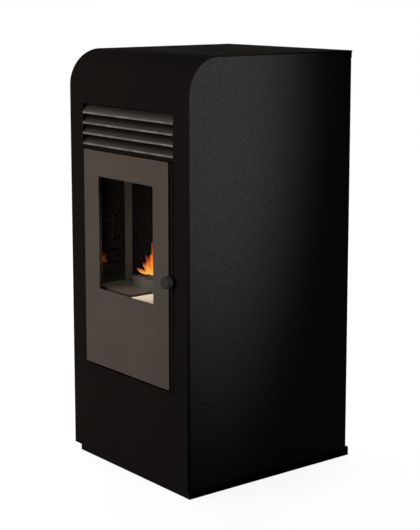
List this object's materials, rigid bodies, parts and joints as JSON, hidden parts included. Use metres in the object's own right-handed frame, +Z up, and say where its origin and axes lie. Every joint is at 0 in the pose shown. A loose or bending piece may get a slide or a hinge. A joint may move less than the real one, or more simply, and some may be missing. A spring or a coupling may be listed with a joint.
{
  "type": "pellet stove",
  "caption": "Free-standing pellet stove: black casing with a rounded top edge, louvres, hinged glass door over a firebox, pellet hopper, auger feed and fans.",
  "frame": {"origin": "on the floor, under the middle of the bounding box", "axes": "+Z up, -Y towards the room (door side), +X to the right when one faces the door"},
  "size_m": [0.44, 0.5344, 0.9515],
  "materials": {
    "satin_black": "satin black stove paint",
    "textured_black": "fine-textured black powder coat",
    "taupe_enamel": "satin taupe paint",
    "bright_steel": "turned bright steel",
    "galvanised_steel": "galvanised sheet",
    "cast_iron": "dark cast iron, sooted",
    "hearth_grey": "grey heat-proof coating on cast iron",
    "chamber_lining": "glossy black chamber lining",
    "pale_tile": "pale fired ceramic",
    "window_glass": "heat-proof glass, lightly smoked",
    "glass_rope": "braided glass-fibre rope",
    "black_plastic": "matt black moulded plastic",
    "foot_rubber": "black rubber pad on a threaded stud"
  },
  "bodies": {
    "root": {"base_tray": "satin_black", "front_top_cover": "satin_black", "louvre_frame": "satin_black", "hinge_bracket": "satin_black", "flue_pipe": "satin_black", "side_panel_left": "textured_black", "side_panel_right": "textured_black", "rear_panel": "textured_black", "louvre_fin_1": "taupe_enamel", "louvre_fin_2": "taupe_enamel", "louvre_fin_3": "taupe_enamel", "louvre_fin_4": "taupe_enamel", "hinge_pin_top": "bright_steel", "hinge_pin_bottom": "bright_steel", "igniter": "bright_steel", "lid_hinge_pin": "bright_steel", "chassis_left": "galvanised_steel", "chassis_right": "galvanised_steel", "ash_pan": "galvanised_steel", "hopper": "galvanised_steel", "auger_tube": "galvanised_steel", "auger_motor": "galvanised_steel", "exhaust_housing": "galvanised_steel", "exhaust_motor": "galvanised_steel", "air_intake_pipe": "galvanised_steel", "room_fan_housing": "galvanised_steel", "room_fan_motor": "galvanised_steel", "firebox_body": "cast_iron", "baffle": "cast_iron", "pellet_chute": "cast_iron", "smoke_duct": "cast_iron", "hearth_plate": "hearth_grey", "corner_strip_left": "hearth_grey", "corner_strip_right": "hearth_grey", "lining_back": "chamber_lining", "lining_left": "chamber_lining", "lining_right": "chamber_lining", "hearth_tile": "pale_tile", "control_panel": "black_plastic", "power_inlet": "black_plastic", "foot_front_left": "foot_rubber", "foot_front_right": "foot_rubber", "foot_rear_left": "foot_rubber", "foot_rear_right": "foot_rubber"},
    "door": {"door_plate": "taupe_enamel", "door_frame": "satin_black", "door_glass": "window_glass", "glass_gasket": "glass_rope", "door_seal": "glass_rope"},
    "latch": {"door_knob": "black_plastic", "latch_spindle": "bright_steel"},
    "lid": {"hopper_lid": "satin_black"},
    "pot": {"burn_pot": "cast_iron"},
    "auger": {"auger_screw": "bright_steel"},
    "exhaust_rotor": {"exhaust_impeller": "bright_steel"},
    "room_rotor": {"room_fan_rotor": "bright_steel"},
    "power_key": {"button_power": "black_plastic"},
    "up_key": {"button_up": "black_plastic"},
    "down_key": {"button_down": "black_plastic"},
    "rocker": {"power_switch": "black_plastic"}
  },
  "joints": [
    {"name": "door_swing", "type": "hinge", "parent": "root", "child": "door", "pos_m": [-0.153, -0.2418, 0.48], "axis": [0, 0, -1], "range_deg": [0, 100]},
    {"name": "latch_turn", "type": "hinge", "parent": "door", "child": "latch", "pos_m": [0.1645, -0.2478, 0.474], "axis": [0, 1, 0], "range_deg": [0, 90]},
    {"name": "lid_lift", "type": "hinge", "parent": "root", "child": "lid", "pos_m": [0, 0.2077, 0.9475], "axis": [-1, 0, 0], "range_deg": [0, 80]},
    {"name": "pot_lift", "type": "slide", "parent": "root", "child": "pot", "axis": [0, 0, 1], "range_m": [0, 0.06]},
    {"name": "auger_spin", "type": "hinge", "parent": "root", "child": "auger", "pos_m": [0, 0.0422, 0.6], "axis": [0, 1, 0], "continuous": true},
    {"name": "exhaust_spin", "type": "hinge", "parent": "root", "child": "exhaust_rotor", "pos_m": [0.105, -0.0328, 0.18], "axis": [0, 1, 0], "continuous": true},
    {"name": "room_fan_spin", "type": "hinge", "parent": "root", "child": "room_rotor", "pos_m": [-0.116, 0.0072, 0.11], "axis": [1, 0, 0], "continuous": true},
    {"name": "power_press", "type": "slide", "parent": "root", "child": "power_key", "axis": [0, 0, -1], "range_m": [0, 0.0015], "stiffness_N_per_m": 300},
    {"name": "up_press", "type": "slide", "parent": "root", "child": "up_key", "axis": [0, 0, -1], "range_m": [0, 0.0015], "stiffness_N_per_m": 300},
    {"name": "down_press", "type": "slide", "parent": "root", "child": "down_key", "axis": [0, 0, -1], "range_m": [0, 0.0015], "stiffness_N_per_m": 300},
    {"name": "switch_rock", "type": "hinge", "parent": "root", "child": "rocker", "pos_m": [0.1657, 0.2199, 0.072], "axis": [-1, 0, 0], "range_deg": [0, 16]}
  ]
}
